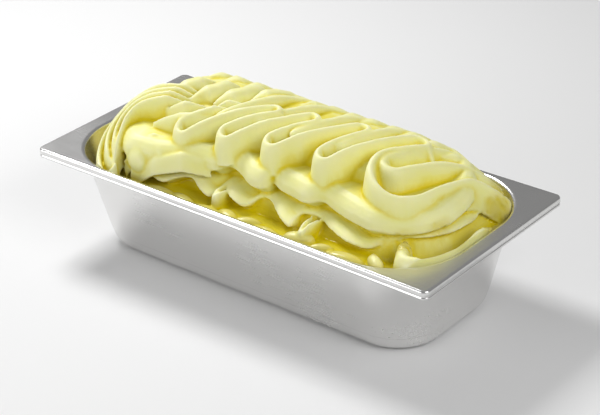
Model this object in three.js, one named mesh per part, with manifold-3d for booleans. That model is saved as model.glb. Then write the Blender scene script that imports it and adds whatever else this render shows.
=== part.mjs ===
// A stainless steel gelato pan, heaped with pale yellow gelato that was laid in folds.
// Millimetres, +Z up. The origin is under the middle of the pan, on its flat bottom;
// X runs along the pan and Y across it.
import * as THREE from 'three';
import { mergeVertices } from 'three/addons/utils/BufferGeometryUtils.js';
import Module from 'manifold-3d';

const wasm = await Module();
wasm.setup();

// ---- Driving dimensions of the pan ----
const PAN_LENGTH = 360;
const PAN_WIDTH = 165;
const PAN_DEPTH = 80; // bottom to the top of the flange
const STEEL = 1; // sheet thickness
const FLANGE_END = 13.5; // flange width at the short ends, up to the opening
const FLANGE_SIDE = 6.3; // flange width along the long sides
const FLANGE_CORNER = 5; // corner radius of the flange
const OPENING_CORNER = 54; // corner radius of the opening
const LIP = 7; // height of the flange's turned-down edge
const LIP_ROUND = 1.6; // radius between flange and lip
const SIDE_BOW = 1; // how far the long edges of the flange draw in at the middle
const MOUTH_ROUND = 3; // radius between flange and wall
const WALL_DRAFT = 15.5; // how far the walls lean in between the mouth and the shoulder
const SHOULDER_HEIGHT = 14; // height of the shoulder line above the bottom
const SHOULDER_STEP = 1; // how far the wall steps in there
const BOTTOM_ROUND = 12; // radius between walls and bottom

// ---- Driving dimensions of the gelato, heights from the flange top ----
const GAP = 0.3; // between gelato and steel
const HEAP_HEIGHT = 48;
const HEAP_HALF_WIDTH = 78;
const SHEET_THICK = 8; // a fold of gelato at its ridge
const SHEET_TALL = 22; // and from its ridge down into the mass
const SHEET_LEAN = 0.2; // how far a fold's foot is off to the right, as a share of its height
const LOW_SHEET_TALL = 14; // the same for the folds at the left end and along the rim

const SET_BACK_FROM = -30; // a layer's lobes with their middle nearer than this slope
const NEAR_EDGE = 62; // how far the low folds reach to the near side

// ---- Sampling ----
const CORNER_STEPS = 8; // facets round a corner of the pan
const TURN_STEP = Math.PI / 5; // angle between points where a fold turns
const RUN_STEP = 9; // distance between points along a fold
const LAYER_TURN_STEPS = 4; // facets where a layer's edge turns
const FINE = 0.08; // detail under this size, left where folds cross, is smoothed away

const steel = new THREE.MeshStandardMaterial({ color: 0xc9c8c6, roughness: 0.28, metalness: 1 });
const gelatoCream = new THREE.MeshStandardMaterial({ color: 0xeeea9c, roughness: 0.5, metalness: 0 });

// ======== Closed meshes from rings ========

// Skins a row of rings with equally many points and closes both ends with flat caps.
// Rings run counterclockwise seen from where the row is heading.
function loft(rings) {
  const count = rings[0].length;
  const positions = rings.flat().flatMap((p) => [p.x, p.y, p.z]);
  const index = [];
  for (let k = 0; k + 1 < rings.length; k++) {
    for (let i = 0; i < count; i++) {
      const j = (i + 1) % count;
      const a = k * count + i;
      const b = k * count + j;
      index.push(a, b, b + count, a, b + count, a + count);
    }
  }
  addCap(index, rings[0], 0, true);
  addCap(index, rings.at(-1), (rings.length - 1) * count, false);
  const geometry = new THREE.BufferGeometry();
  geometry.setAttribute('position', new THREE.Float32BufferAttribute(positions, 3));
  geometry.setIndex(index);
  return geometry;
}

function addCap(index, ring, first, flip) {
  const flat = flatten(ring);
  for (const [a, b, c] of THREE.ShapeUtils.triangulateShape(flat, [])) {
    const turned = THREE.ShapeUtils.area([flat[a], flat[b], flat[c]]) < 0;
    if (turned !== flip) index.push(first + a, first + c, first + b);
    else index.push(first + a, first + b, first + c);
  }
}

// A ring's points in its own plane, in the sense that keeps it counterclockwise.
function flatten(ring) {
  const normal = new THREE.Vector3();
  ring.forEach((p, i) => {
    normal.add(new THREE.Vector3().crossVectors(p, ring[(i + 1) % ring.length]));
  });
  normal.normalize();
  const turn = new THREE.Quaternion().setFromUnitVectors(normal, new THREE.Vector3(0, 0, 1));
  return ring.map((p) => {
    const q = p.clone().applyQuaternion(turn);
    return new THREE.Vector2(q.x, q.y);
  });
}

// ======== The pan ========

// A rectangle with round corners: half sizes hx and hy, corner radius r, height z.
// bow draws the long sides in at the middle.
function roundedRing({ hx, hy, r }, z, { bow = 0, x = 0, y = 0 } = {}) {
  const points = [];
  const corners = [[1, 1], [-1, 1], [-1, -1], [1, -1]];
  corners.forEach(([sx, sy], quarter) => {
    for (let i = 0; i <= CORNER_STEPS; i++) {
      const angle = (quarter + i / CORNER_STEPS) * Math.PI / 2;
      const px = sx * (hx - r) + r * Math.cos(angle);
      const py = sy * (hy - r) + r * Math.sin(angle);
      points.push(new THREE.Vector3(x + px, y + py, z));
    }
    if (quarter % 2 === 0) {
      for (const t of [0.5, 0, -0.5]) {
        const drawn = sy * (hy - bow * (1 - t * t));
        points.push(new THREE.Vector3(x + sy * t * (hx - r), y + drawn, z));
      }
    }
  });
  return points;
}

const mouth = {
  hx: PAN_LENGTH / 2 - FLANGE_END,
  hy: PAN_WIDTH / 2 - FLANGE_SIDE,
  r: OPENING_CORNER,
};

function inset({ hx, hy, r }, by) {
  return { hx: hx - by, hy: hy - by, r: Math.max(r - by, 1) };
}

// The food side of the wall at height z above the bottom, between shoulder and mouth.
function insideAt(z) {
  const share = (PAN_DEPTH - MOUTH_ROUND - z) / (PAN_DEPTH - MOUTH_ROUND - SHOULDER_HEIGHT);
  return inset(mouth, WALL_DRAFT * share);
}

// The food side's rings from the middle of the bottom up to the mouth's round edge, all moved
// out by `out`: 0 gives the food side and STEEL gives the outer side.
function basinRings(out) {
  const rings = [];
  const below = WALL_DRAFT + SHOULDER_STEP;
  for (let i = 4; i >= 0; i--) {
    const angle = (i / 4) * Math.PI / 2;
    const radius = BOTTOM_ROUND + out;
    const z = STEEL + BOTTOM_ROUND - radius * Math.sin(angle);
    rings.push([inset(mouth, below + BOTTOM_ROUND - radius * Math.cos(angle)), z]);
  }
  rings.push([inset(mouth, WALL_DRAFT - out), SHOULDER_HEIGHT]);
  rings.push([inset(mouth, -out), PAN_DEPTH - MOUTH_ROUND]);
  return rings;
}

function panGeometry() {
  const edge = { hx: PAN_LENGTH / 2, hy: PAN_WIDTH / 2, r: FLANGE_CORNER };
  const rings = basinRings(0).map(([size, z]) => roundedRing(size, z));
  for (const angle of [Math.PI / 4, Math.PI / 2]) {
    const out = MOUTH_ROUND * (1 - Math.cos(angle));
    const z = PAN_DEPTH - MOUTH_ROUND * (1 - Math.sin(angle));
    rings.push(roundedRing(inset(mouth, -out), z));
  }
  const bow = SIDE_BOW;
  const lipBottom = PAN_DEPTH - LIP;
  const under = PAN_DEPTH - STEEL;
  rings.push(roundedRing(inset(edge, LIP_ROUND), PAN_DEPTH, { bow }));
  rings.push(roundedRing(inset(edge, LIP_ROUND * 0.3), PAN_DEPTH - LIP_ROUND * 0.3, { bow }));
  rings.push(roundedRing(edge, PAN_DEPTH - LIP_ROUND, { bow }));
  rings.push(roundedRing(edge, lipBottom, { bow }));
  rings.push(roundedRing(inset(edge, STEEL), lipBottom, { bow }));
  rings.push(roundedRing(inset(edge, STEEL), under, { bow }));
  rings.push(roundedRing(inset(mouth, -MOUTH_ROUND), under));
  rings.push(...basinRings(STEEL).reverse().map(([size, z]) => roundedRing(size, z)));
  return loft(rings.reverse());
}

// ======== Paths of the folds ========

// The path of a sheet that runs round pulleys, as points in plan. A pulley is [x, y, r], and
// a positive r is rounded counterclockwise and a negative one clockwise. A first or last
// pulley with r = 0 is where the path starts or ends.
function beltPath(pulleys, closed = false) {
  const count = pulleys.length;
  const headings = pulleys.map(([ax, ay, ar], i) => {
    const [bx, by, br] = pulleys[(i + 1) % count];
    const apart = Math.hypot(bx - ax, by - ay);
    return Math.atan2(by - ay, bx - ax) + Math.asin(THREE.MathUtils.clamp((ar - br) / apart, -1, 1));
  });
  const touch = ([x, y, r], heading) =>
    new THREE.Vector2(x + r * Math.sin(heading), y - r * Math.cos(heading));
  const points = [];
  for (let i = 0; i < count; i++) {
    const last = !closed && i === count - 1;
    const into = headings[(i + count - 1) % count];
    const out = last ? into : headings[i];
    const pulley = pulleys[i];
    if (!closed && i === 0) points.push(touch(pulley, out));
    else {
      const sense = Math.sign(pulley[2]) || 1;
      let sweep = ((out - into) * sense) % (2 * Math.PI);
      if (sweep < -1e-6) sweep += 2 * Math.PI;
      if (last || sweep > 1.8 * Math.PI) sweep = 0;
      const steps = closed ? LAYER_TURN_STEPS : Math.max(1, Math.round(sweep / TURN_STEP));
      for (let k = 0; k <= (sweep > 0 || closed ? steps : 0); k++) {
        points.push(touch(pulley, into + sense * sweep * k / steps));
      }
    }
    if (last) break;
    if (closed) continue;
    const from = touch(pulley, out);
    const to = touch(pulleys[(i + 1) % count], out);
    const steps = Math.max(1, Math.round(from.distanceTo(to) / RUN_STEP));
    for (let k = 1; k < steps; k++) points.push(from.clone().lerp(to, k / steps));
  }
  return points;
}

// The height of the heap's outer surface over the flange top.
function heap(x, y) {
  const across = Math.abs(y / HEAP_HALF_WIDTH) ** 2.6;
  const toLeft = Math.max(0, (-x - 60) / 93) ** 5;
  const toRight = 0.6 * Math.max(0, (x - 80) / 76) ** 2;
  return HEAP_HEIGHT * (1 - across - toLeft - toRight);
}

// One fold: an upright sheet along a path, its ridge on the heap's surface or at the height
// that `ridge` gives. The section is round at the ridge and thickens downwards, and both ends
// of the sheet thin out.
function foldGeometry(pulleys, options = {}) {
  const { thick = SHEET_THICK, tall = SHEET_TALL, raise = 0, lean = SHEET_LEAN, ridge = heap } = options;
  const path = beltPath(pulleys);
  const half = thick / 2;
  const section = [[-1.5, -1], [-1.05, -0.4], [-0.7, -0.12], [0, 0], [0.7, -0.12], [1.05, -0.4], [1.5, -1]];
  const lengths = [0];
  for (let i = 1; i < path.length; i++) lengths.push(lengths[i - 1] + path[i].distanceTo(path[i - 1]));
  const total = lengths.at(-1);
  const rings = path.map((p, i) => {
    const ahead = path[Math.min(i + 1, path.length - 1)].clone();
    const side = ahead.sub(path[Math.max(i - 1, 0)]).normalize();
    const fromEnd = Math.min(lengths[i], total - lengths[i]);
    const width = half * Math.min(1, 0.55 + 0.45 * fromEnd / thick);
    const drop = 3 * (1 - Math.min(1, fromEnd / thick));
    return section.map(([across, down]) => {
      const x = p.x + across * width * side.y;
      const y = p.y - across * width * side.x;
      const z = PAN_DEPTH + ridge(x, y) + raise - drop + down * tall;
      return new THREE.Vector3(x - lean * down * tall, y, z);
    });
  });
  return loft(rings);
}

// One layer with a lobed edge: the outline is a closed belt round the pulleys. Each level is
// [height over the flange top, how far the outline is drawn in, how far the near lobes are
// set back]. The set back makes the lobes slope.
function layerGeometry(pulleys, levels) {
  const rings = levels.map(([height, by, back]) => {
    const drawn = pulleys.map(([x, y, r]) => {
      const radius = r > 0 ? Math.max(r - by, 0.5) : r - by;
      return [x, r > 0 && y < SET_BACK_FROM ? y + back : y, radius];
    });
    return beltPath(drawn, true).map((p) => new THREE.Vector3(p.x, p.y, PAN_DEPTH + height));
  });
  return loft(rings);
}

// ======== The gelato ========

// The mass that fills the pan and rises under the folds, in rings from the bottom up. Above
// the flange it is stepped, low along the near side.
function coreGeometry() {
  const clear = basinRings(0);
  const rings = clear.slice(0, -2).map(([size, z]) => roundedRing(inset(size, GAP), z + GAP));
  const full = (z) => roundedRing(inset(insideAt(z), GAP), z);
  rings.push(full(SHOULDER_HEIGHT + 1), full(PAN_DEPTH - 13));
  // [height, left end, right end, near side, far side, corner radius]
  const steps = [
    [-12, -149, 163, -73, 73, 48],
    [-9, -146, 162, -70, 73, 46],
    [-8, -142, 156, -50, 70, 36],
    [4, -138, 150, -36, 66, 32],
    [16, -134, 142, -30, 60, 26],
    [24, -130, 132, -24, 56, 24],
    [32, -118, 112, -18, 46, 22],
    [37, -98, 92, -10, 34, 20],
  ];
  for (const [height, left, right, near, far, r] of steps) {
    const size = { hx: (right - left) / 2, hy: (far - near) / 2, r };
    const middle = { x: (right + left) / 2, y: (far + near) / 2 };
    rings.push(roundedRing(size, PAN_DEPTH + height, middle));
  }
  return loft(rings);
}

// The lowest folds, which lie along the rim and end in points on the near side.
const rimLayer = [
  [-120, -24, 28], [-96, -58, 9], [-76, -48, -3], [-58, -60, 7], [-43, -48, -4], [-27, -60, 3],
  [-14, -44, -4], [6, -58, 3], [22, -46, -4], [48, -63, 3], [62, -44, -4], [110, -58, 4],
  [122, -38, -3], [143, -44, 12], [132, 8, 32], [116, 28, 44], [80, 60, 12], [62, 50, -5],
  [36, 60, 12], [16, 50, -5], [-10, 60, 12], [-30, 50, -5], [-56, 60, 12], [-76, 50, -5],
  [-104, 32, 40],
];
const rimLevels = [[-14, 1, 0], [-8, 0, 0], [-3, 0, 0], [3, 1, 4], [8, 3, 9], [12, 5, 14]];

// The folds over them, which hang out along the near side as a curtain does.
const curtainLayer = [
  [-104, -34, 30], [-76, -48, 10], [-58, -40, -4], [-32, -39, 10], [-21, -29, -3], [11, -41, 10],
  [10, -17, -3], [49, -40, 10], [55, -22, -3], [113, -12, 38], [122, 22, 34], [92, 50, 10],
  [74, 40, -5], [48, 50, 10], [30, 40, -5], [4, 50, 10], [-14, 40, -5], [-40, 50, 10],
  [-58, 40, -5], [-84, 44, 14], [-108, 18, 30],
];
const curtainLevels = [[5, 4, 3], [7, 0.5, 0], [10, 0, 0], [15, 1, 4], [20, 3, 9], [25, 6, 14]];

// The long sheet on top: it turns back near the front, then at the back, five times over,
// and sweeps out to the right end.
const topSheet = [
  [-44, -10, 0], [-63, -42, 6], [-14, -1, -5], [-27, -36, 6], [17, 3, -6], [12, -30, 7],
  [55, 11, -7], [56, -27, 7], [97, 22, -8], [108, -24, 15], [152, 8, -14], [158, 24, 0],
];

// The tongues inside its front turns, which go over the crest and down the back.
const tongues = [
  [[-92, -22, 0], [-74, 10, -9], [-60, 44, -6], [-52, 60, 0]],
  [[-47, -28, 0], [-12, 22, -15], [-2, 46, -6], [4, 62, 0]],
  [[-18, -19, 0], [20, 24, -17], [32, 50, -6], [38, 64, 0]],
  [[17, -20, 0], [52, 25, -18], [64, 52, -6], [70, 64, 0]],
  [[56, -17, 0], [88, 32, -17], [100, 54, -6], [106, 62, 0]],
  [[119, 48, 0], [108, -12, 8], [140, 42, -13], [136, 56, 0]],
];

// The room that the folds keep to: inside the pan, and straight up from its mouth.
function roomGeometry() {
  const clear = 3 * GAP;
  const rings = basinRings(0).map(([size, z]) => roundedRing(inset(size, clear), z + clear));
  rings.push(roundedRing(inset(mouth, clear), PAN_DEPTH + 2 * HEAP_HEIGHT));
  return loft(rings);
}

// The narrow ridges that wrap the near left corner of the heap, one inside the other.
const leftRidges = [34, 27, 20.5, 14].map((r) => [
  [-112 + r * 0.1, -74 + r * 0.12, 0],
  [-104, -46, -r],
  [-86 + r * 0.1, -30 + r * 0.8, 0],
]);

// The short folds at the left of the long sheet: two below it, which run to the left end,
// one between them that turns back on itself, and two lobes on the crest.
const leftFolds = [
  [[-94, -67, 0], [-36, -43, 0]],
  [[-108, -56, 0], [-68, -46, 0]],
  [[-113, -65, 0], [-77, -59, -3], [-95, -67, 0]],
  [[-70, -8, 0], [-96, -38, 4], [-66, -24, 0]],
  [[-58, -12, 0], [-84, -34, 5], [-54, -22, 0]],
];

// The low folds: two narrow loops that point to the near side, and one that turns at the near
// right corner and runs along the rim. Each has its ridge's height at the near side and how
// steeply that rises across the pan.
const lowFolds = [
  { path: [[-26, -38, 0], [-22, -58, 3], [-10, -40, 0]], thick: 5, from: 2, slope: 0.6 },
  { path: [[50, -42, 0], [60, -62, 3], [64, -40, 0]], thick: 5, from: 0, slope: 0.6 },
  { path: [[136, -26, 0], [147, -48, 8], [112, -22, 47], [158, 22, 0]], thick: 8, from: 4, slope: 0 },
];

function gelatoGeometry() {
  const folds = [layerGeometry(rimLayer, rimLevels), layerGeometry(curtainLayer, curtainLevels)];
  folds.push(foldGeometry(topSheet));
  for (const tongue of tongues) folds.push(foldGeometry(tongue, { raise: -1 }));
  for (const ridge of leftRidges) folds.push(foldGeometry(ridge, { thick: 5, tall: 20, lean: 0 }));
  for (const fold of leftFolds) {
    folds.push(foldGeometry(fold, { thick: 6, tall: LOW_SHEET_TALL, raise: -1 }));
  }
  for (const { path, thick, from, slope } of lowFolds) {
    const ridge = (x, y) => from + slope * (y + NEAR_EDGE);
    folds.push(foldGeometry(path, { thick, tall: LOW_SHEET_TALL, lean: 0, ridge }));
  }
  const heaped = folds.map((fold) => toSolid(fold)).reduce((sum, fold) => sum.add(fold));
  const whole = toSolid(coreGeometry()).add(heaped.intersect(toSolid(roomGeometry())));
  // Small hollows shut in between the folds come out as bodies of their own, and are filled.
  const bodies = cleaned(whole).decompose().sort((p, q) => q.volume() - p.volume());
  return toGeometry(bodies[0]);
}

// Smooths away the slivers that are left where folds cross.
function cleaned(solid) {
  const merged = toSolid(toGeometry(solid.simplify(FINE)), FINE / 2);
  return merged.simplify(FINE);
}

function toSolid(geometry, apart = 1e-4) {
  const merged = mergeVertices(geometry, apart);
  return new wasm.Manifold(new wasm.Mesh({
    numProp: 3,
    vertProperties: new Float32Array(merged.attributes.position.array),
    triVerts: new Uint32Array(withoutCollapsed(merged.index.array)),
  }));
}

// Leaves out the triangles that have two corners in one place.
function withoutCollapsed(index) {
  const kept = [];
  for (let i = 0; i < index.length; i += 3) {
    const [a, b, c] = index.slice(i, i + 3);
    if (a !== b && b !== c && c !== a) kept.push(a, b, c);
  }
  return kept;
}

function toGeometry(solid) {
  const { vertProperties, triVerts } = solid.getMesh();
  const geometry = new THREE.BufferGeometry();
  geometry.setAttribute('position', new THREE.Float32BufferAttribute(vertProperties, 3));
  geometry.setIndex([...triVerts]);
  return geometry;
}

// ======== The part ========

const part = new THREE.Group();

function addNode(name, geometry, material) {
  const mesh = new THREE.Mesh(geometry, material);
  mesh.name = name;
  part.add(mesh);
}

addNode('pan', panGeometry(), steel);
addNode('gelato', gelatoGeometry(), gelatoCream);

export default part;
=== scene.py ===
"""A stainless steel gelato pan, heaped with pale yellow gelato that was laid in folds.

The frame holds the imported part: X runs along the pan, Y across it, and Z up from its flat
bottom. The scene is in metres. The sizes of the pan and the gelato are in millimetres, and
MM turns them into metres.
"""

import math

import bmesh
import bpy
import numpy as np
from mathutils import Matrix, Vector, noise


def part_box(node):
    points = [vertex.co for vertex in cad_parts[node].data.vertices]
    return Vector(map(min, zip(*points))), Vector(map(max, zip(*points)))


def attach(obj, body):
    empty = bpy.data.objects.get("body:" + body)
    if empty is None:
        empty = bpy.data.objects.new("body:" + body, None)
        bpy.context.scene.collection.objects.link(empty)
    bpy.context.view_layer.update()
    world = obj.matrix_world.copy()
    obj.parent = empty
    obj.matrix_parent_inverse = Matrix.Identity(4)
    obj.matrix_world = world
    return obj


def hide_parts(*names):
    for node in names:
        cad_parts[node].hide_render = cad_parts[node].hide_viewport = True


MM = 0.001

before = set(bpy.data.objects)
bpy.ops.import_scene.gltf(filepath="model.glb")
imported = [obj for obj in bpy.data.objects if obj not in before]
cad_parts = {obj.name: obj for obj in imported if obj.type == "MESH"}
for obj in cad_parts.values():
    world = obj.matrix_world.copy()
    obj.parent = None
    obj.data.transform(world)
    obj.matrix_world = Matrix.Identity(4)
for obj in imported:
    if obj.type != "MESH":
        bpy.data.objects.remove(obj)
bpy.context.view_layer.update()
pan_low, pan_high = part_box("pan")
gelato_low, gelato_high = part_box("gelato")

# ---- The pan, in millimetres: its outer sizes come from the frame ----
PAN_LENGTH = (pan_high[0] - pan_low[0]) / MM
PAN_WIDTH = (pan_high[1] - pan_low[1]) / MM
PAN_DEPTH = (pan_high[2] - pan_low[2]) / MM
STEEL = 1.0  # sheet thickness
FLANGE_END = 13.5  # flange width at the short ends, up to the opening
FLANGE_SIDE = 6.3  # flange width along the long sides
FLANGE_CORNER = 5.0
OPENING_CORNER = 54.0
LIP = 7.0  # height of the flange's turned-down edge
LIP_ROUND = 1.6  # radius between flange and lip
LIP_FLAT = 0.5  # flat width between the flange's bow and the lip's bend
SIDE_BOW = 1.0  # how far the long edges draw in at the middle
LEAST_CORNER = 0.6  # radius that is left when a corner is drawn in
MOUTH_ROUND = 3.0
MOUTH_MARGIN = 0.6  # the flange is flat from this far outside that round
WALL_DRAFT = 15.5  # how far the walls lean in between the mouth and the shoulder
SHOULDER_HEIGHT = 14.0
SHOULDER_STEP = 1.0
SHOULDER_BEND = [(0, -1.2), (0.8, -0.25), (1, 0.4)]  # (share of the step, height over it)
WALL_MARGIN = 2.0  # the wall is straight from this far over the shoulder to under the mouth
BOTTOM_ROUND = 12.0
BOTTOM_MARGINS = (22, 1.5)  # rings of the flat bottom, this far inside its round edge
CORNER_STEPS = 28  # facets round a corner
SIDE_STEPS = 9  # points along a side, between its corners
SIDE_REACH = 0.85  # which they take up, as a share of the side
BEND_STEPS = 7  # facets across a bend of the sheet
SMOOTH_UNDER = math.radians(50)
# The lip's hem with the groove over it: (inset, height over the lip's lower edge).
LIP_HEM = [
    (0, 3.1), (0.35, 2.7), (0.5, 2.2), (0.3, 1.85), (0.05, 1.5), (0, 1.1), (0.15, 0.25),
    (0.5, 0), (STEEL, 0.3), (STEEL, 1),
]

# The inside of lip and wall under the flange: (inset, depth under the flange's sheet).
LIP_INSIDE = [(STEEL, 0.5), (STEEL + 0.4, 0)]
WALL_INSIDE = [(-MOUTH_ROUND, 0), (-STEEL - 0.5, 0.6)]

# ---- The gelato, in millimetres, heights from the flange top ----
HEAP_HEIGHT = 48.0
HEAP_HALF_WIDTH = 78.0  # where the heap's height has fallen to nothing
HEAP_FLATNESS = 2.6  # the power by which its height falls off across it
# How it falls off towards an end: (from where, over which length, power, share).
LEFT_FALL = (60, 93, 5, 1.0)
RIGHT_FALL = (80, 76, 2, 0.6)
SHEET_THICK = 7.0  # a fold at its ridge
SHEET_TALL = 22.0  # and from its ridge down into the mass
LOW_SHEET_TALL = 14.0
SHEET_LEAN = 0.5  # how far a fold's foot is off to the front, as a share of its height
UPRIGHT = 0.1  # how much of that is left where a fold stands upright
UNEVENNESS = 1.2  # a ridge rises and falls by this much
DRIFT_SCALE = 45.0  # of the noise that a fold's unevenness follows
THICK_DRIFT = 0.25  # its thickness varies by this share
END_THICKNESS = 0.3  # and this share of it is left at the ends
LEAN_HEADING = (0.64, -0.77)  # in plan
LEAN_FROM = -34.0  # folds stand upright up to here, and lean fully this much further in
LEAN_WITHIN = 22.0
TAPER = 14.0  # a fold thins out and sinks in over this length at its ends
SINK = 6.0
NEAR_EDGE = 62.0  # where the near side of the heap ends
SPINE_REACH = 90.0  # the heap's spine runs this far from the middle, along X
WALL_CLEARANCE = 0.6  # between gelato and steel
TOP_CLEARANCE = 0.1
VOXEL = 1.0  # the step at which the folds are fused
SMOOTHING = 2
PATH_SMOOTHING = 3
MARK_SMOOTHING = 4
MOST_TRIANGLES = 190000
SHOWN_DEPTH = 12.0  # the fused surface goes this far down, and the basin's form below
WET_AND_SHADE_UNDER = -2.5  # below this height the gelato is wet and in painted shade, fully so this much further down
WET_AND_SHADE_WITHIN = 5.0
CRUMB = 6.0  # the size of the crumbs where the surface is ragged, and their height
CRUMB_DEPTH = 1.6
CRUMB_FRACTAL = (0.9, 2.1, 3, 1.0, 2.0)  # roughness, lacunarity, octaves, offset and gain
CRUMB_MEAN = 0.9
CRUMB_LIMIT = 1.2  # the most that a crumb stands out or in, as a share of its height
ROUGH_RISE = 1.6  # how fast the raggedness rises from the edge of a spot
# For each painted shade of the surface, in creases and hollows, and for the painted highlight
# on ridges: over how many neighbours it is worked out, and the depth at which it is full. A
# negative depth is a ridge.
PAINTED_SHADES_AND_HIGHLIGHT = {"crease_shade": (12, 0.42), "hollow_shade": (90, 2.1), "ridge": (14, -0.8)}
SHADE_SMOOTHING = 2
BASIN_LEVELS = (58, 45, 30, 18, 14.8, 13.4, 9, 5, 2.8, 1.7)  # rings of the part that is hidden
RUN_STEP = 3.0  # the step of points along a fold's runs, and round its turns
TURN_STEP = math.radians(9)
LEVEL_STEPS = 3  # rings of a skirt from one of its levels to the next


# ======== Closed meshes from rings ========

def skin_rings(mesh_name, rings):
    """Skins a row of rings with equally many points and closes both ends."""
    bm = bmesh.new()
    rows = [[bm.verts.new(Vector(point) * MM) for point in ring] for ring in rings]
    for row, following in zip(rows, rows[1:]):
        for i in range(len(row)):
            j = (i + 1) % len(row)
            bm.faces.new((row[i], row[j], following[j], following[i]))
    bm.faces.new(reversed(rows[0]))
    bm.faces.new(rows[-1])
    bmesh.ops.recalc_face_normals(bm, faces=bm.faces)
    mesh = bpy.data.meshes.new(mesh_name)
    bm.to_mesh(mesh)
    bm.free()
    return mesh


def rounded_ring(half_x, half_y, corner, z, bow=0.0, middle=(0.0, 0.0)):
    """A rectangle with round corners. bow draws its long sides in at the middle."""
    points = []
    for quarter, (sx, sy) in enumerate([(1, 1), (-1, 1), (-1, -1), (1, -1)]):
        for i in range(CORNER_STEPS + 1):
            angle = (quarter + i / CORNER_STEPS) * math.pi / 2
            points.append((
                middle[0] + sx * (half_x - corner) + corner * math.cos(angle),
                middle[1] + sy * (half_y - corner) + corner * math.sin(angle),
                z,
            ))
        if quarter % 2 == 0:
            for share in np.linspace(SIDE_REACH, -SIDE_REACH, SIDE_STEPS):
                drawn = sy * (half_y - bow * (1 - share * share))
                points.append((middle[0] + sy * share * (half_x - corner), middle[1] + drawn, z))
    return points


# ======== The pan ========

# Outlines in plan, as (half length, half width, corner radius).
MOUTH = (PAN_LENGTH / 2 - FLANGE_END, PAN_WIDTH / 2 - FLANGE_SIDE, OPENING_CORNER)
EDGE = (PAN_LENGTH / 2, PAN_WIDTH / 2, FLANGE_CORNER)


def inset(size, by):
    """An outline drawn in by a margin."""
    return size[0] - by, size[1] - by, max(size[2] - by, LEAST_CORNER)


def bend(centre_in, centre_z, radius, start, end):
    """Points (inset, height) of a round bend of the sheet, from angle start to end."""
    angles = np.radians(np.linspace(start, end, BEND_STEPS + 1))
    return [(centre_in - radius * math.cos(a), centre_z + radius * math.sin(a)) for a in angles]


def basin_profile(out):
    """The wall's section from the middle of the bottom up to the mouth: (inset, height).
    out = 0 gives the food side and out = STEEL the outer side."""
    below = WALL_DRAFT + SHOULDER_STEP
    centre_in = below + BOTTOM_ROUND
    points = [(centre_in + margin, STEEL - out) for margin in BOTTOM_MARGINS]
    points += bend(centre_in, STEEL + BOTTOM_ROUND, BOTTOM_ROUND + out, -90, 0)
    for share, above in SHOULDER_BEND:
        points.append((below - out - SHOULDER_STEP * share, SHOULDER_HEIGHT + above))
    wall_top = PAN_DEPTH - MOUTH_ROUND
    slope = WALL_DRAFT / (wall_top - SHOULDER_HEIGHT)
    for height in (SHOULDER_HEIGHT + WALL_MARGIN, wall_top - WALL_MARGIN, wall_top):
        points.append((WALL_DRAFT - out - slope * (height - SHOULDER_HEIGHT), height))
    return points


def make_pan():
    """The sheet of steel: down the food side, round the mouth, flange and lip, and back up
    underneath to the outer side."""
    rings = [rounded_ring(*inset(MOUTH, by), z) for by, z in basin_profile(0)]
    for by, z in bend(-MOUTH_ROUND, PAN_DEPTH - MOUTH_ROUND, -MOUTH_ROUND, 0, -90)[1:]:
        rings.append(rounded_ring(*inset(MOUTH, by), z))
    rings.append(rounded_ring(*inset(MOUTH, -MOUTH_ROUND - MOUTH_MARGIN), PAN_DEPTH))
    under = PAN_DEPTH - STEEL
    section = [(LIP_ROUND + LIP_FLAT, PAN_DEPTH)]
    section += bend(LIP_ROUND, PAN_DEPTH - LIP_ROUND, LIP_ROUND, 90, 0)
    section += [(by, PAN_DEPTH - LIP + height) for by, height in LIP_HEM]
    section += [(by, under - depth) for by, depth in LIP_INSIDE]
    rings += [rounded_ring(*inset(EDGE, by), z, bow=SIDE_BOW) for by, z in section]
    rings += [rounded_ring(*inset(MOUTH, by), under - depth) for by, depth in WALL_INSIDE]
    rings += [rounded_ring(*inset(MOUTH, by), z) for by, z in reversed(basin_profile(STEEL))]
    mesh = skin_rings("pan_sheet", rings)
    mesh.shade_smooth()
    mesh.set_sharp_from_angle(angle=SMOOTH_UNDER)
    pan = bpy.data.objects.new("pan_sheet", mesh)
    bpy.context.collection.objects.link(pan)
    return pan


# ======== Paths of the folds ========

def belt_path(pulleys):
    """The path of a sheet that runs round pulleys, as points in plan. A pulley is (x, y, r):
    a positive r is rounded counterclockwise, a negative one clockwise. The path starts and
    ends at the first and last pulley, which have r = 0."""
    headings = []
    for (ax, ay, ar), (bx, by, br) in zip(pulleys, pulleys[1:]):
        crossing = math.asin(min(1, max(-1, (ar - br) / math.hypot(bx - ax, by - ay))))
        headings.append(math.atan2(by - ay, bx - ax) + crossing)

    def touch(pulley, heading):
        x, y, r = pulley
        return np.array([x + r * math.sin(heading), y - r * math.cos(heading)])

    points = [touch(pulleys[0], headings[0])]
    for i, pulley in enumerate(pulleys[1:], 1):
        into = headings[i - 1]
        start = points[-1]
        end = touch(pulley, into)
        steps = max(1, round(math.dist(start, end) / RUN_STEP))
        points += [start + (end - start) * k / steps for k in range(1, steps + 1)]
        if i == len(pulleys) - 1:
            break
        sense = math.copysign(1, pulley[2])
        sweep = (headings[i] - into) * sense % (2 * math.pi)
        steps = max(1, round(sweep / TURN_STEP))
        points += [touch(pulley, into + sense * sweep * k / steps) for k in range(1, steps + 1)]
    return np.array(points)


def eased(points, passes):
    """Smooths a path, so that its turns and runs flow into each other."""
    eased_points = points.copy()
    for _ in range(passes):
        around = (np.roll(eased_points, 1, 0) + np.roll(eased_points, -1, 0)) / 2
        around[[0, -1]] = eased_points[[0, -1]]
        eased_points = (eased_points + around) / 2
    return eased_points


def fallen(x, start, length, power, share):
    return share * max(0, (x - start) / length) ** power


def heap(x, y):
    """The height of the heap's outer surface over the flange top."""
    across = abs(y / HEAP_HALF_WIDTH) ** HEAP_FLATNESS
    return HEAP_HEIGHT * (1 - across - fallen(-x, *LEFT_FALL) - fallen(x, *RIGHT_FALL))


# ======== Node trees ========

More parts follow.
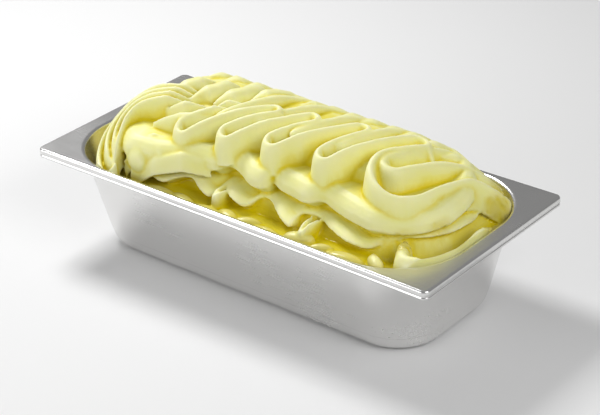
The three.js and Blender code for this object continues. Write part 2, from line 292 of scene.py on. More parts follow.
class Sketch:
    """Adds nodes to a tree in few words."""

    def __init__(self, tree):
        self.tree = tree

    def add(self, kind, inputs=None, **settings):
        node = self.tree.nodes.new(kind)
        for key, value in settings.items():
            setattr(node, key, value)
        for key, value in (inputs or {}).items():
            self.give(node.inputs[key], value)
        return node

    def give(self, socket, value):
        if isinstance(value, bpy.types.NodeSocket):
            self.tree.links.new(value, socket)
        else:
            socket.default_value = value

    def math(self, operation, *values, kind="ShaderNodeMath"):
        node = self.add(kind, operation=operation)
        for socket, value in zip(node.inputs, values):
            self.give(socket, value)
        return node.outputs[0]

    def vector_math(self, operation, *values):
        return self.math(operation, *values, kind="ShaderNodeVectorMath")

    def blend(self, share, under, over):
        """The colour that is share of over, and the rest of under."""
        inputs = {"Factor": share, "A": under, "B": over}
        return self.add("ShaderNodeMix", inputs, data_type="RGBA").outputs["Result"]


# ======== The folds, swept by a node tree ========

def section_curve():
    """The fold's section: half widths across, and shares of its height down from the ridge.
    A Z-up curve sweeps the section's Y downwards."""
    half = [(1.7, 1), (1.5, 0.75), (1.3, 0.52), (1.1, 0.33), (0.9, 0.19), (0.7, 0.1)]
    half += [(0.48, 0.04), (0.25, 0.01), (0.08, 0)]
    points = half + [(-across, down) for across, down in reversed(half)]
    curve = bpy.data.curves.new("fold_section", "CURVE")
    curve.dimensions = "2D"
    spline = curve.splines.new("POLY")
    spline.points.add(len(points) - 1)
    for point, (across, down) in zip(spline.points, points):
        point.co = (across, down, 0, 1)
    spline.use_cyclic_u = True
    section = bpy.data.objects.new("fold_section", curve)
    bpy.context.collection.objects.link(section)
    return section


def fold_tree():
    """Sweeps an upright sheet along its ridge line. The sheet thins out at both ends, its
    foot leans, and its thickness and height vary a little along the way."""
    tree = bpy.data.node_groups.new("gelato_fold", "GeometryNodeTree")
    face = tree.interface
    face.new_socket("Geometry", in_out="INPUT", socket_type="NodeSocketGeometry")
    face.new_socket("Section", in_out="INPUT", socket_type="NodeSocketObject")
    for name in ("Thickness", "Height", "Lean", "Upright", "Unevenness", "Taper", "Sink"):
        face.new_socket(name, in_out="INPUT", socket_type="NodeSocketFloat")
    face.new_socket("Seed", in_out="INPUT", socket_type="NodeSocketFloat")
    face.new_socket("Material", in_out="INPUT", socket_type="NodeSocketMaterial")
    face.new_socket("Geometry", in_out="OUTPUT", socket_type="NodeSocketGeometry")
    make = Sketch(tree)
    given = make.add("NodeGroupInput").outputs

    place = make.add("GeometryNodeInputPosition").outputs[0]
    split = make.add("ShaderNodeSeparateXYZ", {"Vector": place}).outputs
    flat = make.add("ShaderNodeCombineXYZ", {"X": split["X"], "Y": split["Y"]}).outputs[0]
    along = make.add("GeometryNodeSplineParameter").outputs["Length"]
    whole = make.add("GeometryNodeSplineLength").outputs["Length"]
    from_end = make.math("MINIMUM", along, make.math("SUBTRACT", whole, along))
    facts = make.add("GeometryNodeCaptureAttribute", {"Geometry": given["Geometry"]})
    for kind, name, value in (
        ("VECTOR", "Centre", flat), ("FLOAT", "Ridge", split["Z"]), ("FLOAT", "End", from_end),
    ):
        facts.capture_items.new(kind, name)
        make.give(facts.inputs[name], value)
    laid_flat = make.add("GeometryNodeSetPosition", {"Geometry": facts.outputs["Geometry"],
                                                     "Position": facts.outputs["Centre"]})
    section = make.add("GeometryNodeObjectInfo", {"Object": given["Section"]})
    swept = make.add("GeometryNodeCurveToMesh", {
        "Curve": laid_flat.outputs[0],
        "Profile Curve": section.outputs["Geometry"],
        "Fill Caps": True,
    })

    centre, ridge, end = (facts.outputs[name] for name in ("Centre", "Ridge", "End"))
    thickness, height = given["Thickness"], given["Height"]
    nearness = make.math("MINIMUM", 1.0, make.math("DIVIDE", end, given["Taper"]))
    drift = make.add("ShaderNodeTexNoise", {
        "Vector": centre, "W": given["Seed"], "Scale": DRIFT_SCALE, "Detail": 1.0,
    }, noise_dimensions="4D")
    uneven = make.math("MULTIPLY_ADD", drift.outputs[0], 2.0, -1.0)
    wide = make.math("MULTIPLY_ADD", nearness, 1 - END_THICKNESS, END_THICKNESS)
    wide = make.math("MULTIPLY", wide, make.math("MULTIPLY_ADD", uneven, THICK_DRIFT, 1.0))
    wide = make.math("MULTIPLY", wide, make.math("MULTIPLY", thickness, 0.5))
    offset = make.vector_math("SUBTRACT", place, centre)
    off = make.add("ShaderNodeSeparateXYZ", {"Vector": offset}).outputs
    deep = make.math("MULTIPLY", off["Z"], height)
    across = make.add("ShaderNodeCombineXYZ", {"X": off["X"], "Y": off["Y"]}).outputs[0]
    widened = make.add("ShaderNodeVectorMath", {0: across, "Scale": wide}, operation="SCALE")
    inward = make.add("ShaderNodeMapRange", {
        "Value": split["Y"], "From Min": LEAN_FROM * MM,
        "From Max": (LEAN_FROM + LEAN_WITHIN) * MM, "To Min": given["Upright"], "To Max": 1.0,
    }).outputs[0]
    leaning = make.math("MULTIPLY", make.math("MULTIPLY", deep, given["Lean"]), inward)
    sunk = make.math("MULTIPLY", make.math("SUBTRACT", 1.0, nearness), given["Sink"])
    rise = make.math("ADD", make.math("SUBTRACT", ridge, sunk), deep)
    rise = make.math("ADD", rise, make.math("MULTIPLY", uneven, given["Unevenness"]))
    shift = make.add("ShaderNodeCombineXYZ", {
        "X": make.math("MULTIPLY", leaning, -LEAN_HEADING[0]),
        "Y": make.math("MULTIPLY", leaning, -LEAN_HEADING[1]),
        "Z": rise,
    }).outputs[0]
    placed = make.vector_math("ADD", centre, widened.outputs[0])
    formed = make.add("GeometryNodeSetPosition", {
        "Geometry": swept.outputs[0], "Position": make.vector_math("ADD", placed, shift),
    })
    real = make.add("GeometryNodeRealizeInstances", {"Geometry": formed.outputs[0]})
    finished = make.add("GeometryNodeSetMaterial", {
        "Geometry": real.outputs[0], "Material": given["Material"],
    })
    make.add("NodeGroupOutput", {"Geometry": finished.outputs[0]})
    return tree


def set_inputs(modifier, **values):
    """Sets a modifier's inputs by their sockets' identifiers."""
    for socket in modifier.node_group.interface.items_tree:
        key = socket.name.lower()
        if socket.in_out == "INPUT" and key in values:
            modifier[socket.identifier] = values[key]


def mesh_of(thing):
    """The evaluated object as a plain mesh. The object itself is removed."""
    evaluated = thing.evaluated_get(bpy.context.evaluated_depsgraph_get())
    mesh = bpy.data.meshes.new_from_object(evaluated)
    bpy.data.objects.remove(thing)
    return mesh


def sweep_sheet(tools, line, *, thick, tall, lean, taper=TAPER, sink=SINK, seed=0.0):
    """Sweeps a sheet down from a line of ridge points."""
    curve = bpy.data.curves.new("fold_ridge", "CURVE")
    curve.dimensions = "3D"
    curve.twist_mode = "Z_UP"
    spline = curve.splines.new("POLY")
    spline.points.add(len(line) - 1)
    for point, (x, y, z) in zip(spline.points, line):
        point.co = (x * MM, y * MM, (PAN_DEPTH + z) * MM, 1)
    fold = bpy.data.objects.new("fold_ridge", curve)
    bpy.context.collection.objects.link(fold)
    sweep = fold.modifiers.new("gelato_fold", "NODES")
    sweep.node_group = tools["tree"]
    set_inputs(sweep, section=tools["section"], thickness=thick * MM, height=tall * MM,
               lean=lean, upright=UPRIGHT, unevenness=UNEVENNESS * MM, taper=taper * MM,
               sink=sink * MM, seed=seed, material=tools["material"])
    return mesh_of(fold)


def make_fold(tools, pulleys, *, thick=SHEET_THICK, tall=SHEET_TALL, raised=0.0,
              lean=SHEET_LEAN, ridge=heap, **others):
    """Lays a fold round pulleys, with its ridge on a surface."""
    path = eased(belt_path(pulleys), PATH_SMOOTHING)
    line = [(x, y, ridge(x, y) + raised) for x, y in path]
    return sweep_sheet(tools, line, thick=thick, tall=tall, lean=lean, **others)


def between(marks):
    """A smooth line of points along a few (x, y, z) marks."""
    line = [marks[0]]
    for start, end in zip(marks, marks[1:]):
        steps = max(2, round(math.dist(start, end) / RUN_STEP))
        line += [tuple(np.interp(k / steps, (0, 1), pair) for pair in zip(start, end))
                 for k in range(1, steps + 1)]
    return eased(np.array(line), MARK_SMOOTHING)


def make_lump(x, y, z, length, width, height, turn):
    """A smooth low lump of gelato, which lies at the rim."""
    bm = bmesh.new()
    bmesh.ops.create_icosphere(bm, subdivisions=4, radius=0.5 * MM)
    spin = Matrix.Rotation(math.radians(turn), 4, "Z")
    spot = Matrix.Translation(Vector((x, y, PAN_DEPTH + z)) * MM)
    bm.transform(spot @ spin @ Matrix.Diagonal((length, width, height, 1)))
    mesh = bpy.data.meshes.new("lump")
    bm.to_mesh(mesh)
    bm.free()
    return mesh


# ======== The layers and the core ========

def make_skirt(mesh_name, hem, levels, bottom, top):
    """One layer with a wavy hem, a closed line of (x, y, height) marks. Each level is (height
    over the hem, how far it is drawn in towards the heap's spine). bottom and top are the
    (height, drawn in) of its flat ends."""
    line = between(hem + hem[:1])[:-1]
    flat = line[:, :2]
    spine = np.stack([np.clip(flat[:, 0], -SPINE_REACH, SPINE_REACH), np.zeros(len(line))], 1)
    outward = (flat - spine) / np.linalg.norm(flat - spine, axis=1)[:, None]
    stations = range(len(levels))
    rings = [np.column_stack([flat - bottom[1] * outward, np.full(len(line), bottom[0])])]
    for step in np.linspace(0, len(levels) - 1, LEVEL_STEPS * (len(levels) - 1) + 1):
        up, by = (np.interp(step, stations, column) for column in zip(*levels))
        rings.append(np.column_stack([flat - by * outward, line[:, 2] + up]))
    rings.append(np.column_stack([flat - top[1] * outward, np.full(len(line), top[0])]))
    return skin_rings(mesh_name, [ring + (0, 0, PAN_DEPTH) for ring in rings])


def make_core():
    """The mass that fills the pan and rises under the folds."""
    rings = [rounded_ring(*inset(MOUTH, by + WALL_CLEARANCE), z + WALL_CLEARANCE)
             for by, z in basin_profile(0)[:-2]]
    for height, left, right, near, far, corner in CORE_STEPS:
        middle = ((right + left) / 2, (far + near) / 2)
        rings.append(rounded_ring((right - left) / 2, (far - near) / 2, corner,
                                  PAN_DEPTH + height, middle=middle))
    return skin_rings("gelato_core", rings)


# (height, left end, right end, near side, far side, corner radius)
CORE_STEPS = [
    (-15, -149, 163, -73, 73, 48),
    (-12, -146, 162, -70, 73, 46),
    (-10, -142, 154, -50, 70, 36),
    (4, -138, 140, -36, 66, 32),
    (16, -134, 132, -30, 60, 26),
    (24, -130, 124, -24, 56, 24),
    (32, -118, 108, -18, 46, 22),
    (37, -98, 90, -10, 34, 20),
]


def back_hem(right, left, middle, wave, lobes, height):
    """Marks of a wavy hem along the far side, from the right end to the left one. Its lobes
    reach out unevenly, and hang lower the further out they are."""
    marks = []
    for i in range(2 * lobes + 1):
        share = i / (2 * lobes)
        out = (wave if i % 2 else -wave) * (0.8 + 0.3 * math.sin(2 * i))
        marks.append((right + (left - right) * share, middle + out, height - out / 2))
    return marks


# The lower skirt, which lies along the rim. On the near side it hangs in leaves, each drawn
# out to a tip at its right.
RIM_HEM = [
    (-146, 0, -1), (-144, -32, -1), (-133, -51, 0), (-118, -62, -3), (-107, -63, -6),
    (-102, -54, -1), (-86, -61, -2), (-70, -64, -5), (-63, -56, -1), (-53, -49, 0),
    (-40, -58, -1), (-27, -61, -6), (-24, -47, 0), (-10, -57, -1), (3, -57, -6), (8, -41, 0),
    (20, -46, 1), (33, -56, -1), (48, -62, -6), (45, -45, 0), (60, -42, 0), (74, -50, -1),
    (93, -56, -3), (110, -52, -6), (118, -41, -1), (130, -36, 3), (143, -26, 3), (151, -8, 2),
    (152, 14, 1), (146, 34, 1), (130, 50, 1),
] + back_hem(112, -112, 68, 3, 6, 0) + [(-134, 50, 0), (-143, 24, 0)]
RIM_ENDS = {"bottom": (-15, 16), "top": (7, 26)}
RIM_LEVELS = [(-7, 12), (-4, 8), (-1.6, 4), (-0.4, 0.9), (0, 0), (1, 0.5), (2.6, 2.6), (3.8, 6),
              (4.6, 11)]

# The upper skirt, which hangs out over it as a curtain does.
CURTAIN_HEM = [
    (-138, -8, 12), (-134, -34, 11), (-122, -54, 9), (-102, -66, 10), (-80, -64, 10),
    (-62, -58, 12), (-50, -54, 13), (-41, -50, 13), (-29, -50, 11), (-23, -42, 16),
    (-11, -43, 13), (3, -51, 11), (14, -51, 10), (18, -44, 12), (16, -39, 14), (24, -44, 11),
    (40, -46, 11), (52, -49, 10), (58, -45, 11), (61, -40, 13), (72, -43, 10), (92, -49, 10),
    (110, -51, 9), (128, -42, 7), (142, -31, 8), (151, -12, 10), (150, 11, 12), (144, 30, 14),
    (128, 50, 14),
] + back_hem(108, -104, 64, 4, 5, 12) + [(-126, 44, 13), (-137, 18, 13)]
CURTAIN_ENDS = {"bottom": (-4, 22), "top": (25, 20)}
CURTAIN_LEVELS = [(-9, 11), (-5, 7.5), (-2, 3.8), (-0.5, 0.9), (0, 0), (2, 0.2), (6, 0.8),
                  (9, 2.4), (12, 5), (14, 9)]

# Lumps at the rim: place, length, width, height and turn.
LUMPS = [
    (-97, -56, 7, 32, 20, 26, -35), (-82, -54, 12, 34, 16, 24, -10),
    (-70, -66, -11, 30, 10, 9, 4), (-48, -66, -11, 26, 11, 9, -12),
    (-26, -67, -12, 28, 10, 9, 8), (-6, -65, -11, 20, 12, 9, -20), (12, -65, -11, 22, 10, 10, 25),
    (32, -67, -12, 26, 10, 10, -6), (58, -63, -9, 24, 13, 10, 18), (78, -65, -11, 20, 9, 11, 35),
    (98, -64, -11, 30, 12, 9, 6), (122, -60, -8, 20, 10, 9, -35),
]

# The long sheet on top: it turns back near the front, then at the back, five times over,
# and sweeps out to the right end.
TOP_SHEET = [
    (-44, -10, 0), (-63, -42, 6), (-14, -1, -5), (-27, -36, 6), (17, 3, -6), (12, -30, 7),
    (55, 11, -7), (56, -27, 7), (97, 22, -8), (112, -15, 22.5), (160, 20, -19), (162, 56, 0),
]

# The tongues inside its front turns, which go over the crest and down the back.
TONGUES = [
    [(-47, -28, 0), (-12, 22, -15), (6, 71, 0)],
    [(-18, -19, 0), (20, 24, -17), (40, 71, 0)],
    [(17, -20, 0), (52, 25, -18), (72, 71, 0)],
    [(56, -17, 0), (88, 32, -17), (108, 68, 0)],
    [(120, 64, 0), (102, -11, 8), (142, 64, 0)],
]

# Thick folds that lie side by side down the far side, one every FAR_PITCH along the pan.
FAR_PITCH = 18
FAR_FOLDS = [[(x, 30, 0), (x + FAR_PITCH, 70, 0)] for x in range(-104, 118, FAR_PITCH)]

# Short thick folds on the crest over the left end.
CREST_FOLDS = [
    [(-104, -16, 0), (-93, 4, 0), (-90, 22, 0)],
    [(-84, -14, 0), (-73, 6, 0), (-70, 28, 0)],
    [(-64, -10, 0), (-53, 12, 0), (-49, 38, 0)],
    [(-90, 30, 0), (-78, 50, 0)],
    [(-44, 6, 0), (-34, 28, 0), (-28, 52, 0)],
]

# The narrow ridges that wrap the near left corner of the heap, one inside the other.
LEFT_RIDGES = [[(-112 + r * 0.1, -74 + r * 0.12, 0), (-104, -46, -r),
                (-86 + r * 0.1, -30 + r * 0.8, 0)] for r in (34, 27, 20.5, 14)]

# The open folds between them and the long sheet, as (x, y, ridge height) marks, from the
# crest down to the near left corner.
LEFT_FOLDS = [
    [(-96, -28, 44), (-81, -27, 47), (-72, -22, 48), (-64, -12, 48)],
    [(-96, -42, 38), (-85, -40, 41), (-68, -36, 42), (-54, -29, 45), (-46, -20, 47)],
    [(-59, -25, 46), (-56, -14, 49), (-46, -3, 49), (-36, 4, 49)],
    [(-103, -56, 22), (-87, -51, 30), (-72, -46, 33)],
    [(-108, -63, 11), (-99, -59, 19), (-89, -55, 25), (-78, -53, 28), (-69, -54, 26)],
    [(-100, -65, 7), (-80, -62, 14), (-62, -57, 20), (-47, -51, 24), (-34, -47, 27)],
]

# The low folds: (path, thickness, ridge height at the near side, how steeply it rises).
LOW_FOLDS = [
    ([(-23, -44, 0), (-21, -60, 1.2), (-16, -46, 0)], 3.2, 0, 0.5),
    ([(56, -45, 0), (60, -63, 1.2), (64, -44, 0)], 3.2, -1, 0.5),
    ([(128, -32, 0), (146, -49, 8), (118, -26, 50), (163, 18, 0)], 8, 4, 0.0),
]

# What sets each kind of fold apart. seed is that of its first fold.
TONGUE_KIND = {"seed": 1, "thick": 9, "raised": -1.5, "taper": 4, "sink": 1}
CREST_KIND = {"seed": 6, "thick": 14, "raised": 0.5, "lean": 0.8, "taper": 14, "sink": 7}
FAR_KIND = {"seed": 41, "thick": 13, "raised": -1, "lean": 0, "taper": 12, "sink": 5}
RIDGE_KIND = {"seed": 11, "thick": 4.5, "tall": 20, "lean": 0}
LEFT_KIND = {"thick": 6.5, "tall": LOW_SHEET_TALL, "lean": 0.3, "taper": 24, "sink": 9}
LEFT_SEED = 25
LOW_KIND = {"tall": LOW_SHEET_TALL, "lean": 0}
LOW_SEED = 31

# Where the surface is ragged: x, y, height, reach. The right end and a patch on the crest.
ROUGH_SPOTS = [
    (130, 64, 0, 18), (146, 54, 0, 18), (157, 38, 1, 16), (161, 14, 2, 14), (154, -22, 6, 15),
    (134, -44, 2, 13), (122, -50, -2, 13), (-74, -14, 46, 8), (-108, -60, 6, 9),
]


# ======== The heap as one body ========

def lay_row(tools, paths, *, seed, **kind):
    """Lays folds of one kind, each with a seed of its own."""
    return [make_fold(tools, path, seed=seed + i, **kind) for i, path in enumerate(paths)]


def lay_gelato(material):
    """Lays all folds and layers and returns them as one mesh of overlapping bodies."""
    tools = {"tree": fold_tree(), "section": section_curve(), "material": material}
    laid = [
        make_core(),
        make_skirt("rim_skirt", RIM_HEM, RIM_LEVELS, **RIM_ENDS),
        make_skirt("curtain", CURTAIN_HEM, CURTAIN_LEVELS, **CURTAIN_ENDS),
        make_fold(tools, TOP_SHEET),
    ]
    laid += lay_row(tools, TONGUES, **TONGUE_KIND)
    laid += lay_row(tools, CREST_FOLDS, **CREST_KIND)
    laid += lay_row(tools, FAR_FOLDS, **FAR_KIND)
    laid += lay_row(tools, LEFT_RIDGES, **RIDGE_KIND)
    for i, ridge in enumerate(LEFT_FOLDS):
        laid.append(sweep_sheet(tools, between(ridge), seed=LEFT_SEED + i, **LEFT_KIND))
    for i, (path, thick, start, slope) in enumerate(LOW_FOLDS):
        laid.append(make_fold(
            tools, path, thick=thick, seed=LOW_SEED + i,
            ridge=lambda x, y, start=start, slope=slope: start + slope * (y + NEAR_EDGE),
            **LOW_KIND,
        ))
    laid += [make_lump(*lump) for lump in LUMPS]
    bpy.data.objects.remove(tools["section"])
    bm = bmesh.new()
    for mesh in laid:
        bm.from_mesh(mesh)
        bpy.data.meshes.remove(mesh)
    bmesh.ops.recalc_face_normals(bm, faces=bm.faces)
    together = bpy.data.meshes.new("gelato_heap")
    bm.to_mesh(together)
    bm.free()
    return together


def mesh_arrays(mesh):
    """The mesh's places, edges and vertex normals, each as an array with a row for each."""
    places = np.empty(len(mesh.vertices) * 3)
    mesh.vertices.foreach_get("co", places)
    edges = np.empty(len(mesh.edges) * 2, int)
    mesh.edges.foreach_get("vertices", edges)
    normals = np.empty(len(mesh.vertices) * 3)
    mesh.vertex_normals.foreach_get("vector", normals)
    return places.reshape(-1, 3), edges.reshape(-1, 2), normals.reshape(-1, 3)


def averaged(values, edges, passes):
    """Brings each vertex's value halfway to its neighbours' mean, over and over."""
    count = len(values)
    ends = np.concatenate([edges[:, 0], edges[:, 1]])
    others = np.concatenate([edges[:, 1], edges[:, 0]])
    degree = np.bincount(ends, minlength=count)
    blended = values.astype(float).copy()
    columns = blended.reshape(count, -1)
    for _ in range(passes):
        for k in range(columns.shape[1]):
            mean = np.bincount(ends, columns[others, k], minlength=count) / degree
            columns[:, k] += (mean - columns[:, k]) / 2
    return columns.reshape(values.shape)


def keep_inside(places):
    """Keeps the gelato inside the pan's basin, and over the mouth's outline above it."""
    insets, heights = np.array(basin_profile(0)).T
    height = places[:, 2] / MM
    drawn = (np.interp(height - WALL_CLEARANCE, heights, insets) + WALL_CLEARANCE) * MM
    corner = np.maximum(OPENING_CORNER * MM - drawn, MM)
    flat = np.stack([MOUTH[0] * MM - drawn - corner, MOUTH[1] * MM - drawn - corner], 1)
    beyond = np.abs(places[:, :2]) - flat
    outside = np.maximum(beyond, 0)
    length = np.linalg.norm(outside, axis=1)
    distance = length + np.minimum(beyond.max(1), 0) - corner
    safe = np.maximum(length, 1e-9)[:, None]
    heading = np.where(length[:, None] > 1e-9, outside / safe, np.eye(2)[beyond.argmax(1)])
    places[:, :2] -= np.maximum(distance, 0)[:, None] * heading * np.sign(places[:, :2])


def largest_piece(bm):
    """Removes all but the largest connected piece: what is left are pockets inside it."""
    unseen = set(bm.verts)
    pieces = []
    while unseen:
        piece = [unseen.pop()]
        for vert in piece:
            for edge in vert.link_edges:
                other = edge.other_vert(vert)
                if other in unseen:
                    unseen.remove(other)
                    piece.append(other)
        pieces.append(piece)
    pieces.sort(key=len)
    for piece in pieces[:-1]:
        bmesh.ops.delete(bm, geom=piece, context="VERTS")


def close_below(mesh):
    """Cuts the fused surface off below what shows, and closes it with the basin's form."""
    bm = bmesh.new()
    bm.from_mesh(mesh)
    largest_piece(bm)
    everything = bm.verts[:] + bm.edges[:] + bm.faces[:]
    bmesh.ops.bisect_plane(bm, geom=everything, plane_co=(0, 0, (PAN_DEPTH - SHOWN_DEPTH) * MM),
                           plane_no=(0, 0, 1), clear_inner=True)
    edge = [edge for edge in bm.edges if edge.is_boundary]
    for height in BASIN_LEVELS:
        made = bmesh.ops.extrude_edge_only(bm, edges=edge)["geom"]
        edge = [item for item in made if isinstance(item, bmesh.types.BMEdge)]
        for item in made:
            if isinstance(item, bmesh.types.BMVert):
                item.co.z = height * MM
    bmesh.ops.edgeloop_fill(bm, edges=edge)
    bmesh.ops.recalc_face_normals(bm, faces=bm.faces)
    bm.to_mesh(mesh)
    bm.free()


def changed_by(mesh, kind, **settings):
    """The mesh as one modifier makes it. The mesh itself is removed."""
    thing = bpy.data.objects.new("gelato_heap", mesh)
    bpy.context.collection.objects.link(thing)
    modifier = thing.modifiers.new("change", kind)
    for key, value in settings.items():
        setattr(modifier, key, value)
    changed = mesh_of(thing)
    bpy.data.meshes.remove(mesh)
    return changed


def thinned(mesh):
    """Takes triangles out where the surface is even."""
    triangles = sum(len(face.vertices) - 2 for face in mesh.polygons)
    return changed_by(mesh, "DECIMATE", ratio=MOST_TRIANGLES / triangles)


def rough_share(places):
    """How ragged the surface is at each place, from 0 to 1."""
    share = np.zeros(len(places))
    for x, y, z, reach in ROUGH_SPOTS:
        apart = np.linalg.norm(places / MM - (x, y, PAN_DEPTH + z), axis=1)
        share = np.maximum(share, np.clip(ROUGH_RISE * (1 - apart / reach), 0, 1))
    return share


def roughen(mesh):
    """Makes the surface crumbly where the gelato was scraped off."""
    places, _, normals = mesh_arrays(mesh)
    share = rough_share(places)
    for i in np.flatnonzero(share > 0):
        spot = Vector(places[i]) / (CRUMB * MM)
        torn = noise.ridged_multi_fractal(spot, *CRUMB_FRACTAL) - CRUMB_MEAN
        torn = min(CRUMB_LIMIT, max(-CRUMB_LIMIT, torn))
        places[i] += normals[i] * share[i] * CRUMB_DEPTH * MM * torn
    mesh.vertices.foreach_set("co", places.ravel())
    mesh.update()


def shade_values(mesh):
    """Gives the mesh what its colour follows: how wet it is, which also marks painted shade low
    by the rim, how deep it lies in a narrow crease or a wide hollow, for painted shade, and how
    far it stands out as a ridge, for a painted highlight."""
    places, edges, normals = mesh_arrays(mesh)
    # Painted shade low by the rim, together with the wet, ragged spots.
    low = np.clip((WET_AND_SHADE_UNDER - (places[:, 2] / MM - PAN_DEPTH)) / WET_AND_SHADE_WITHIN, 0, 1)
    wet_and_shade = mesh.attributes.new("wet_and_shade", "FLOAT", "POINT")
    wet_and_shade.data.foreach_set("value", np.maximum(low, rough_share(places)))
    # Painted shade in creases and hollows, and a painted highlight on ridges, from how deep each
    # place lies.
    for name, (passes, reach) in PAINTED_SHADES_AND_HIGHLIGHT.items():
        lifted = averaged(places, edges, passes) - places
        sunken = np.clip((lifted * normals).sum(1) / (reach * MM), 0, 1)
        attribute = mesh.attributes.new(name, "FLOAT", "POINT")
        attribute.data.foreach_set("value", averaged(sunken, edges, SHADE_SMOOTHING))


def make_gelato(material):
    """Fuses the folds and layers into one closed surface."""
    fused = changed_by(lay_gelato(material), "REMESH", mode="VOXEL", voxel_size=VOXEL * MM)
    places, edges, _ = mesh_arrays(fused)
    fused.vertices.foreach_set("co", averaged(places, edges, SMOOTHING).ravel())
    close_below(fused)
    fused = thinned(fused)
    roughen(fused)
    places, _, _ = mesh_arrays(fused)
    keep_inside(places)
    places[:, 2] = np.minimum(places[:, 2], gelato_high[2] - TOP_CLEARANCE * MM)
    fused.vertices.foreach_set("co", places.ravel())
    fused.update()
    shade_values(fused)
    fused.shade_smooth()
    fused.materials.clear()
    fused.materials.append(material)
    gelato = bpy.data.objects.new("gelato_heap", fused)
    bpy.context.collection.objects.link(gelato)
    return gelato


# ======== Materials ========

def new_material(name):
    """A material with an empty node tree, and a Sketch to fill it."""
    material = bpy.data.materials.new(name)
    material.use_nodes = True
    material.node_tree.nodes.clear()
    return material, Sketch(material.node_tree)


CREAM = ((0.87, 0.86, 0.36, 1), (0.85, 0.83, 0.29, 1))  # two shades, in soft clouds
# Painted highlight: lighter cream along the ridges.
RIDGE_HIGHLIGHT_CREAM = (0.94, 0.93, 0.62, 1)
# Wet gelato's deeper yellow, which is also painted shade low by the rim.
WET_AND_SHADE_YELLOW = (0.66, 0.55, 0.03, 1)
# Painted shade: deeper yellow in the wide hollows and the narrow creases.
HOLLOW_SHADE_YELLOW = (0.80, 0.71, 0.01, 1)
CREASE_SHADE_YELLOW = (0.74, 0.60, 0.0, 1)
WET_AND_SHADE_SHARE = 0.75  # how far wet gelato, also painted shade low by the rim, takes its colour, and hollows their painted shade
HOLLOW_SHADE_SHARE = 0.6
BRIGHT_STEEL = (0.78, 0.775, 0.765, 1)
PALE_GREY = (0.82, 0.82, 0.82, 1)


def creamy_gelato():
    """Pale lemon yellow, satin and moist, with painted shade deeper and warmer in the creases and
    hollows, and a painted highlight on the ridges.
    """
    material, paint = new_material("creamy_gelato")
    spot = paint.add("ShaderNodeTexCoord").outputs["Object"]
    # Painted shade: how deep each place lies in a narrow crease or a wide hollow.
    crease_shade = paint.add("ShaderNodeAttribute", attribute_name="crease_shade").outputs["Fac"]
    hollow_shade = paint.add("ShaderNodeAttribute", attribute_name="hollow_shade").outputs["Fac"]
    # Painted highlight: how far each place stands out as a ridge.
    ridge = paint.add("ShaderNodeAttribute", attribute_name="ridge").outputs["Fac"]
    # Wet gelato, and painted shade low by the rim.
    wet_and_shade = paint.add("ShaderNodeAttribute", attribute_name="wet_and_shade").outputs["Fac"]
    cloud = paint.add("ShaderNodeTexNoise", {"Vector": spot, "Scale": 30.0, "Detail": 2.0})
    layers = (
        # painted highlight on the ridges
        (ridge, RIDGE_HIGHLIGHT_CREAM),
        # the wet gelato's yellow, with painted shade low by the rim
        (paint.math("MULTIPLY", wet_and_shade, WET_AND_SHADE_SHARE), WET_AND_SHADE_YELLOW),
        # painted shade in the hollows and the creases
        (paint.math("MULTIPLY", hollow_shade, HOLLOW_SHADE_SHARE), HOLLOW_SHADE_YELLOW),
        (crease_shade, CREASE_SHADE_YELLOW),
    )
    colour = paint.blend(cloud.outputs[0], *CREAM)
    for share, shade in layers:
        colour = paint.blend(share, colour, shade)
    pores = paint.add("ShaderNodeTexNoise", {"Vector": spot, "Scale": 900.0, "Detail": 3.0})
    swells = paint.add("ShaderNodeTexNoise", {"Vector": spot, "Scale": 160.0, "Detail": 2.0})
    grain = paint.add("ShaderNodeBump", {
        "Height": pores.outputs[0], "Strength": 0.25, "Distance": 0.3 * MM,
    })
    relief = paint.add("ShaderNodeBump", {
        "Height": swells.outputs[0], "Strength": 0.35, "Distance": 1.0 * MM,
        "Normal": grain.outputs[0],
    })
    rough = paint.add("ShaderNodeMapRange", {"Value": wet_and_shade, "To Min": 0.45, "To Max": 0.22})
    surface = paint.add("ShaderNodeBsdfPrincipled", {
        "Base Color": colour, "Roughness": rough.outputs[0],
        "Normal": relief.outputs[0], "IOR": 1.38, "Subsurface Weight": 0.2,
        "Subsurface Radius": (1.0, 0.85, 0.3), "Subsurface Scale": 3 * MM,
    })
    paint.add("ShaderNodeOutputMaterial", {"Surface": surface.outputs[0]})
    return material


def satin_steel():
    """Pressed stainless steel: bright, with a fine satin grain."""
    material, paint = new_material("satin_steel")
    spot = paint.add("ShaderNodeTexCoord").outputs["Object"]
    grain = paint.add("ShaderNodeMapping", {"Vector": spot, "Scale": (40, 900, 900)})
    fine = paint.add("ShaderNodeTexNoise", {
        "Vector": grain.outputs[0], "Scale": 1.0, "Detail": 3.0,
    })
    smears = paint.add("ShaderNodeTexNoise", {"Vector": spot, "Scale": 18.0, "Detail": 3.0})
    both = paint.math("MULTIPLY_ADD", fine.outputs[0], 0.5, smears.outputs[0])
    rough = paint.add("ShaderNodeMapRange", {
        "Value": both, "From Min": 0.4, "From Max": 1.1, "To Min": 0.2, "To Max": 0.3,
    })
    relief = paint.add("ShaderNodeBump", {
        "Height": fine.outputs[0], "Strength": 0.05, "Distance": 0.1 * MM,
    })
    surface = paint.add("ShaderNodeBsdfPrincipled", {
        "Base Color": BRIGHT_STEEL, "Metallic": 1.0, "Roughness": rough.outputs[0],
        "Normal": relief.outputs[0],
    })
    paint.add("ShaderNodeOutputMaterial", {"Surface": surface.outputs[0]})
    return material


def pale_floor():
    """A plain matt floor."""
    material, paint = new_material("pale_floor")
    surface = paint.add("ShaderNodeBsdfPrincipled", {
        "Base Color": PALE_GREY, "Roughness": 0.6,
    })
    paint.add("ShaderNodeOutputMaterial", {"Surface": surface.outputs[0]})
    return material


# ======== Floor, light and camera ========

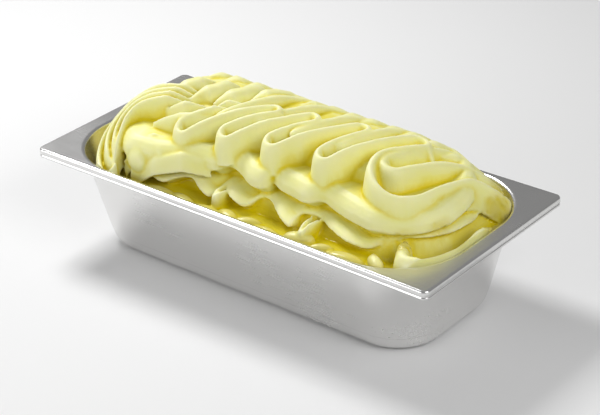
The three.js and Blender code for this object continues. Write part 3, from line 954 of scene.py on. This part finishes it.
FLOOR_REACH = 4.0  # from here on in metres, as lights and camera are
FLOOR_DROP = 0.0002  # the floor lies this far under the pan
SKY_STRENGTH = 0.26
LIGHT_AIM = (0.0, 0.0, 0.08)
# name, place, (width, height), power in watts
LIGHTS = [
    ("key", (-0.7, 0.2, 0.95), (0.35, 0.35), 9.5),
    ("fill", (1.0, -0.2, 0.8), (0.7, 0.6), 6.0),
    ("front", (-0.7, -1.2, 0.35), (1.2, 0.5), 6.5),
]

CAMERA_TURN = math.radians(40.06)  # to the right of the pan's near side
CAMERA_CLIMB = math.radians(28.51)
CAMERA_ROLL = math.radians(-2.1)
CAMERA_AIM = Vector((0.04055, -0.03979, 0.080))
CAMERA_DISTANCE = 1.33419
CAMERA_LENS = 114
CAMERA_SENSOR = 36


def make_floor():
    mesh = bpy.data.meshes.new("floor")
    signs = [(-1, -1), (1, -1), (1, 1), (-1, 1)]
    corners = [(sx * FLOOR_REACH, sy * FLOOR_REACH, -FLOOR_DROP) for sx, sy in signs]
    mesh.from_pydata(corners, [], [(0, 1, 2, 3)])
    mesh.materials.append(pale_floor())
    floor = bpy.data.objects.new("floor", mesh)
    bpy.context.collection.objects.link(floor)


def make_light(name, place, size, power):
    """A rectangular area light, which faces the heap."""
    light = bpy.data.lights.new(name, "AREA")
    light.shape = "RECTANGLE"
    light.size, light.size_y = size
    light.energy = power
    lamp = bpy.data.objects.new(name, light)
    lamp.location = place
    towards = Vector(LIGHT_AIM) - Vector(place)
    lamp.rotation_euler = towards.to_track_quat("-Z", "Y").to_euler()
    bpy.context.collection.objects.link(lamp)


def make_studio():
    """A white sky and the lights."""
    world = bpy.data.worlds.new("studio")
    world.use_nodes = True
    sky = world.node_tree.nodes["Background"].inputs
    sky["Color"].default_value = (1, 1, 1, 1)
    sky["Strength"].default_value = SKY_STRENGTH
    bpy.context.scene.world = world
    bpy.context.scene.view_settings.view_transform = "Standard"
    for light in LIGHTS:
        make_light(*light)


def make_camera():
    """The photograph's view."""
    back = Vector((
        math.sin(CAMERA_TURN) * math.cos(CAMERA_CLIMB),
        -math.cos(CAMERA_TURN) * math.cos(CAMERA_CLIMB),
        math.sin(CAMERA_CLIMB),
    ))
    right = Vector((math.cos(CAMERA_TURN), math.sin(CAMERA_TURN), 0))
    up = back.cross(right)
    rolled_right = math.cos(CAMERA_ROLL) * right + math.sin(CAMERA_ROLL) * up
    rolled_up = math.cos(CAMERA_ROLL) * up - math.sin(CAMERA_ROLL) * right
    place = CAMERA_AIM + back * CAMERA_DISTANCE
    camera = bpy.data.objects.new("camera", bpy.data.cameras.new("camera"))
    camera.data.sensor_width = CAMERA_SENSOR
    camera.data.lens = CAMERA_LENS
    rows = [(rolled_right[k], rolled_up[k], back[k], place[k]) for k in range(3)]
    camera.matrix_world = Matrix(rows + [(0, 0, 0, 1)])
    bpy.context.collection.objects.link(camera)
    bpy.context.scene.camera = camera


# ======== The scene ========

make_camera()
make_floor()
make_studio()

pan = make_pan()
pan.data.materials.append(satin_steel())
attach(pan, "root")
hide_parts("pan")

gelato = make_gelato(creamy_gelato())
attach(gelato, "root")
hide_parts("gelato")
